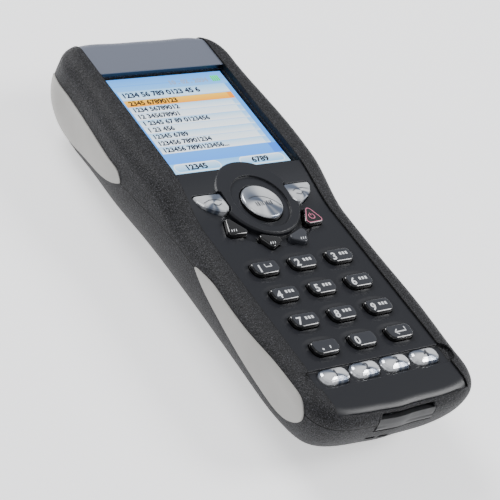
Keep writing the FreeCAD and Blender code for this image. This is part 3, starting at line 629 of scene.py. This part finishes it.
def function_keys():
    for i in range(4):
        name = "function_key_%d" % (i + 1)
        x = FUNCTION_PITCH * (i - 1.5)
        outline = smile(x, FUNCTION_Y, FUNCTION_WIDE, FUNCTION_DEEP, 1.9, 2.1, 3)
        levels = flanged(20.3, FUNCTION_REACH) + [(20.9, 0.35), (21.2, 0.8)]
        jewel = stacked(name + "_jewel", outline, levels, 0.3, FUNCTION_BRIGHT, False, (0.62, 0.3, 0.0))
        ready(jewel, name, "key_bright", name)
        mark = flat_text(str(i + 1), 1.9, x, FUNCTION_Y + 0.1, FUNCTION_TOP + 0.02, 0.0, 1.2)
        ready(joined(name + "_print", [mark], DARK_PRINT), name, "key_bright")


def scan_key():
    outline = arc(0.0, SCAN_Y, SCAN_RADIUS, 0.0, 360.0, 48)[:-1]
    base = stacked("scan_key_base", outline, flanged(22.2) + [(22.6, 0.1)], 0.0, GLOSS)
    ready(base, "scan_key", "key_bright", "scan_key")
    levels = [(22.0, 0.3), (22.75, 0.15), (23.1, 0.4), (23.22, 0.8), (23.1, 1.4), (23.1, 1.45)]
    cap = stacked("scan_key_cap", outline, levels, 0.12, SCAN_BRIGHT)
    ready(cap, "scan_key", "key_bright")
    level = 23.26
    line = stroke(arc(-1.4, SCAN_Y - 4.4, 6.1, 18.0, 112.0, 24), 0.16, level)
    code = [stroke([(x, SCAN_Y - 1.6), (x, SCAN_Y - 0.2)], w, level)
            for x, w in ((-2.6, 0.22), (-1.9, 0.4), (-1.2, 0.16), (-0.6, 0.3), (0.2, 0.16), (0.8, 0.44),
                         (1.5, 0.22), (2.1, 0.34))]
    ready(joined("scan_key_print", [line] + code, DARK_PRINT), "scan_key", "key_bright")


def soft_keys():
    shape = [(10.3, 7.0), (10.8, 7.45), (13.2, 7.5), (16.0, 7.5), (18.3, 7.45), (18.8, 7.0),
             (18.6, 5.8), (17.4, 4.0), (15.6, 2.7), (13.8, 1.8), (12.3, 1.35), (11.0, 1.6), (10.35, 2.6),
             (10.25, 4.0), (10.25, 5.6)]
    for side, label in ((-1, "left"), (1, "right")):
        name = "soft_key_" + label
        outline = [(x * side, y) for x, y in shape]
        if side > 0:
            outline.reverse()
        levels = flanged(22.2) + [(22.55, 0.25), (22.7, 0.7)]
        jewel = stacked(name + "_jewel", outline, levels, 0.16, SOFT_BRIGHT, False, (0.55, 0.0))
        ready(jewel, name, "key_bright", name)
        level = SOFT_TOP + 0.01
        curve = [(11.6 * side, 4.6), (13.2 * side, 5.3), (15.2 * side, 5.3), (17.2 * side, 4.6)]
        marks = [stroke(curve, 0.18, level),
                 stroke([(12.2 * side, 3.7), (13.4 * side, 3.2), (14.6 * side, 3.9)], 0.22, level)]
        ready(joined(name + "_print", marks, DARK_PRINT), name, "key_bright")


# A rounded triangle that points away from the disc: its outline, its middle and its direction
def pick(angle, half_side, near, far, radius):
    a = math.radians(angle)
    out = Vector((math.cos(a), math.sin(a)))
    along = Vector((-math.sin(a), math.cos(a)))
    mid = Vector((0.0, DISC_Y))
    centres = [mid + out * (near + radius) - along * (half_side - radius),
               mid + out * (far - radius),
               mid + out * (near + radius) + along * (half_side - radius)]
    points = []
    for i in range(3):
        before = (centres[i] - centres[i - 1]).normalized()
        after = (centres[(i + 1) % 3] - centres[i]).normalized()
        start = math.degrees(math.atan2(before.y, before.x)) - 90.0
        end = math.degrees(math.atan2(after.y, after.x)) - 90.0
        while end < start:
            end += 360.0
        points += arc(centres[i].x, centres[i].y, radius, start, end, 5)
    return points, mid + out * (near + far) / 2.0, out


def small_keys():
    for label, angle, near, far, half_side, finish, print_finish in (
            ("menu", 213.0, 12.9, 18.0, 3.2, GLOSS, PRINT),
            ("clear", 251.0, 12.7, 16.7, 3.1, GLOSS, PRINT),
            ("enter", 289.0, 12.7, 16.7, 3.1, SATIN_KEY, PRINT),
            ("power", 327.0, 12.9, 18.0, 3.2, GLOSS, PINK_PRINT)):
        name = label + "_key"
        outline, mid, out = pick(angle, half_side, near, far, 1.0)
        cap = stacked(name + "_cap", outline, key_levels(SMALL_TOP, 0.4), 0.0, finish)
        ready(cap, name, "key_gloss", name)
        level = SMALL_TOP + PRINT_LIFT
        if label == "power":
            c = mid - out * 0.6
            marks = [stroke(arc(c.x, c.y, 0.85, 120.0, 420.0, 14), 0.2, level),
                     stroke([(c.x, c.y + 0.2), (c.x, c.y + 1.15)], 0.2, level)]
            shrunk = [tuple(Vector(p) + (mid - Vector(p)) * 0.16) for p in outline]
            marks.append(stroke(shrunk, 0.2, level, True))
        else:
            c = mid + out * 0.5
            marks = []
            for left in (c.x - 0.9, c.x - 0.2, c.x + 0.5):
                marks.append(stroke([(left, c.y - 0.6), (left + 0.3, c.y + 0.1)], 0.2, level))
        ready(joined(name + "_print", marks, print_finish), name, "key_gloss")


number_keys()
function_keys()
scan_key()
soft_keys()
small_keys()


# What the display shows: patches of colour, placed in parts of the picture from its upper left

def shown(px, py):
    return (DISPLAY_LEFT + px * DISPLAY_WIDE / PARTS_WIDE, DISPLAY_TOP - py * DISPLAY_HIGH / PARTS_HIGH)


def display_picture():
    sky, pale, white = (122, 168, 222), (196, 220, 244), (246, 250, 254)
    patches = [(0, 0, 1200, 1050, (8, 8, 10), (8, 8, 10)),
               (4, 14, 1196, 150, (120, 165, 220), (150, 188, 232)),
               (4, 80, 1196, 96, (140, 180, 228), (120, 165, 220)),
               (4, 150, 1196, 1042, sky, (116, 160, 214)),
               (25, 150, 1145, 245, (176, 208, 240), (222, 236, 250)),
               (25, 250, 1095, 320, (252, 196, 120), (246, 160, 62)),
               (1095, 250, 1145, 320, (240, 160, 70), (226, 138, 44)),
               (4, 835, 1196, 940, (120, 164, 216), (112, 156, 210)),
               (1105, 835, 1196, 940, (92, 134, 196), (92, 134, 196)),
               (4, 940, 1196, 1042, (150, 190, 234), (196, 222, 246))]
    for row in range(7):
        top = 322 + row * 73
        patches.append((25, top, 1145, top + 70, (226, 238, 250) if row % 2 else pale, white))
        patches.append((1095, top + 6, 1145, top + 64, (170, 202, 234), (196, 218, 242)))
    for step in range(4):
        patches.append((1050 + 22 * step, 58, 1066 + 22 * step, 122, (24, 168, 84), (0, 140, 62)))
    form = bmesh.new()
    colour = form.verts.layers.float_color.new("tint")
    level = IMAGE_LEVEL

    def patch(points, level):
        corners = []
        for (px, py), shade in points:
            x, y = shown(px, py)
            corner = form.verts.new((x * MM, y * MM, level * MM))
            corner[colour] = vivid(*shade)
            corners.append(corner)
        form.faces.new(corners)

    for x0, y0, x1, y1, high, low in patches:
        level += IMAGE_LAYER
        patch((((x0, y1), low), ((x1, y1), low), ((x1, y0), high), ((x0, y0), high)), level)
    for left in (25, 695):
        for grow, high, low, lift in ((0, (250, 252, 255), (232, 242, 252), 0.0),
                                      (10, (222, 234, 246), (150, 188, 216), 0.004)):
            outline = arc(left + 45, 990, 45 - grow, 90.0, 270.0, 10)
            outline += arc(left + 425, 990, 45 - grow, -90.0, 90.0, 10)
            patch([(p, tuple(h + (l - h) * (p[1] - 945) / 90.0 for h, l in zip(high, low)))
                   for p in reversed(outline)], level + 0.004 + lift)
    form.normal_update()
    for face in form.faces:
        if face.normal.z < 0:
            face.normal_flip()
    ink = level + 0.014
    words = [(60, 198, 50, (12, 18, 34), "1234 56 789 0123 45 6"),
             (60, 286, 46, (30, 20, 8), "2345 67890123"),
             (600, 100, 44, (150, 160, 176), "10 . 02 . 2034")]
    for row, text in enumerate(("1234 56789012", "12 345678901", "1 2345 67 89 0123456", "1 23 456",
                                "12345 6789", "123456 78901234", "123456 7890123456...")):
        words.append((60, 358 + 73 * row, 44, (10, 16, 30), text))
    words += [(150, 990, 52, (12, 14, 20), "12345"), (820, 990, 52, (12, 14, 20), "6789")]
    for px, py, tall, shade, text in words:
        x, y = shown(px, py)
        mesh = flat_text(text, tall * DISPLAY_HIGH / PARTS_HIGH * 1.02, 0.0, 0.0, ink, 0.0, 1.12, 0.06)
        left_edge = min(v.co.x for v in mesh.vertices)
        mesh.transform(Matrix.Translation((x * MM - left_edge, y * MM, 0.0)))
        begin = len(form.verts)
        form.from_mesh(mesh)
        form.verts.ensure_lookup_table()
        for corner in form.verts[begin:]:
            corner[colour] = vivid(*shade)
    mesh = bpy.data.meshes.new("display_picture")
    form.to_mesh(mesh)
    form.free()
    mesh.materials.clear()
    ready(link("display_picture", mesh, IMAGE), HOUSING, "display")


display_picture()


# The other nodes keep their own form

FINISHES = {
    "display_window": WINDOW, "display_module": BLACK, "display_gasket": RUBBER, "display_frame": BLACK,
    "display_ribbon": AMBER, "housing_seal": RUBBER, "battery_pack": WRAP, "battery_contacts": COPPER,
    "main_board": GREEN, "keypad_mat": MAT, "dome_sheet": METAL, "scan_engine": BLACK,
    "scan_window": RED, "scan_ribbon": AMBER, "beeper": BLACK, "port_cover_pin": METAL,
    "interface_connector": METAL, "housing_screws": METAL,
}
for node, material in FINISHES.items():
    data = NODES[node].data
    data.materials.clear()
    data.materials.append(material)


# Floor and light

def staged(name, mesh, material):
    piece = link(name, mesh, material)
    return piece


FLOOR_HALF, FLOOR_LEVEL = 3.0, -0.0003
floor_form = bmesh.new()
for x, y in ((-1, -1), (1, -1), (1, 1), (-1, 1)):
    floor_form.verts.new((x * FLOOR_HALF, y * FLOOR_HALF, FLOOR_LEVEL))
floor_form.faces.new(floor_form.verts[:])
floor_mesh = bpy.data.meshes.new("floor")
floor_form.to_mesh(floor_mesh)
floor_form.free()
FLOOR = plain_finish("pale_floor", srgb(244, 244, 246), 0.8, 0.0, Emission_Color=srgb(255, 255, 255),
                     Emission_Strength=0.9)
staged("floor", floor_mesh, FLOOR)


def soft_light(name, place, target, width, power):
    lamp = bpy.data.lights.new(name, "AREA")
    lamp.size = width
    lamp.energy = power
    holder = bpy.data.objects.new(name, lamp)
    place = Vector(place)
    holder.rotation_euler = (Vector(target) - place).to_track_quat("-Z", "Y").to_euler()
    holder.location = place
    bpy.context.scene.collection.objects.link(holder)


soft_light("head_light", (-0.25, 1.1, 0.9), (0.0, 0.03, 0.0), 0.7, 22.0)
soft_light("side_light", (1.0, -0.35, 0.9), (0.0, 0.0, 0.0), 0.5, 15.0)
soft_light("left_light", (-0.9, -0.3, 0.6), (0.0, 0.0, 0.0), 0.5, 1.0)

world = bpy.data.worlds.new("studio")
world.use_nodes = True
sky = world.node_tree.nodes["Background"]
sky.inputs["Color"].default_value = srgb(235, 238, 243)
sky.inputs["Strength"].default_value = 0.5
bpy.context.scene.world = world
